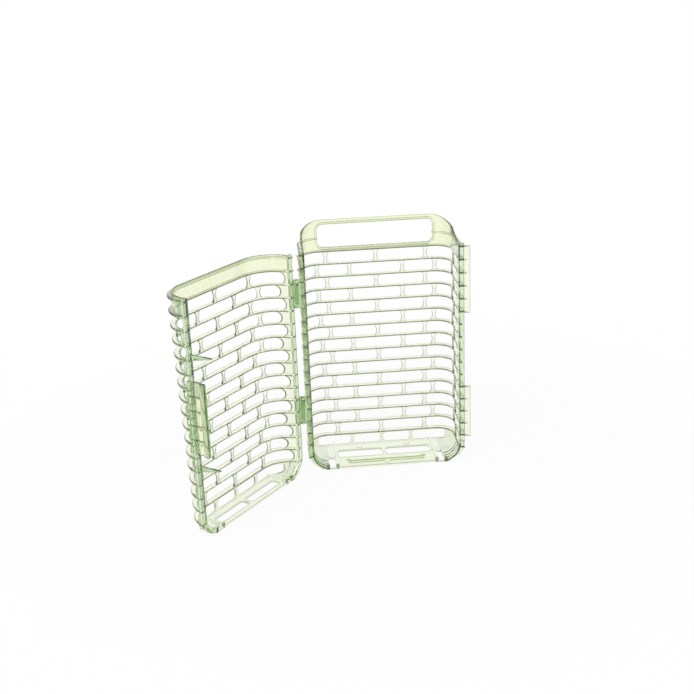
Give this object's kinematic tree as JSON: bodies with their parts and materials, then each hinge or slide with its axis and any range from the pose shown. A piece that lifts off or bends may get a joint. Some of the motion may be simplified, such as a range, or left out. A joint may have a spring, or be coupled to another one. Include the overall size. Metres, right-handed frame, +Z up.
{
  "type": "herb keeper basket",
  "caption": "Ribbed basket of a herb keeper: a deep tray with a grip handle and a shallow snap-latched door on side hinges, holding herb bunches upright",
  "frame": {"origin": "on the standing surface, under the middle of the solid floor strip at the open face of the deep tray", "axes": "+Z up, +X along the deep tray's width away from the hinges, +Y from its open face to its back wall"},
  "size_m": [0.2258, 0.1684, 0.1954],
  "materials": {
    "tray_plastic": "clear pale green moulded plastic, glossy",
    "door_plastic": "clear pale green moulded plastic, glossy"
  },
  "bodies": {
    "tray": {"back_half": "tray_plastic"},
    "door": {"front_half": "door_plastic"}
  },
  "joints": [
    {"name": "door_hinge", "type": "hinge", "parent": "tray", "child": "door", "pos_m": [-0.0665, -0.0098, 0.09], "axis": [0, 0, 1], "range_deg": [-53, 127]}
  ]
}
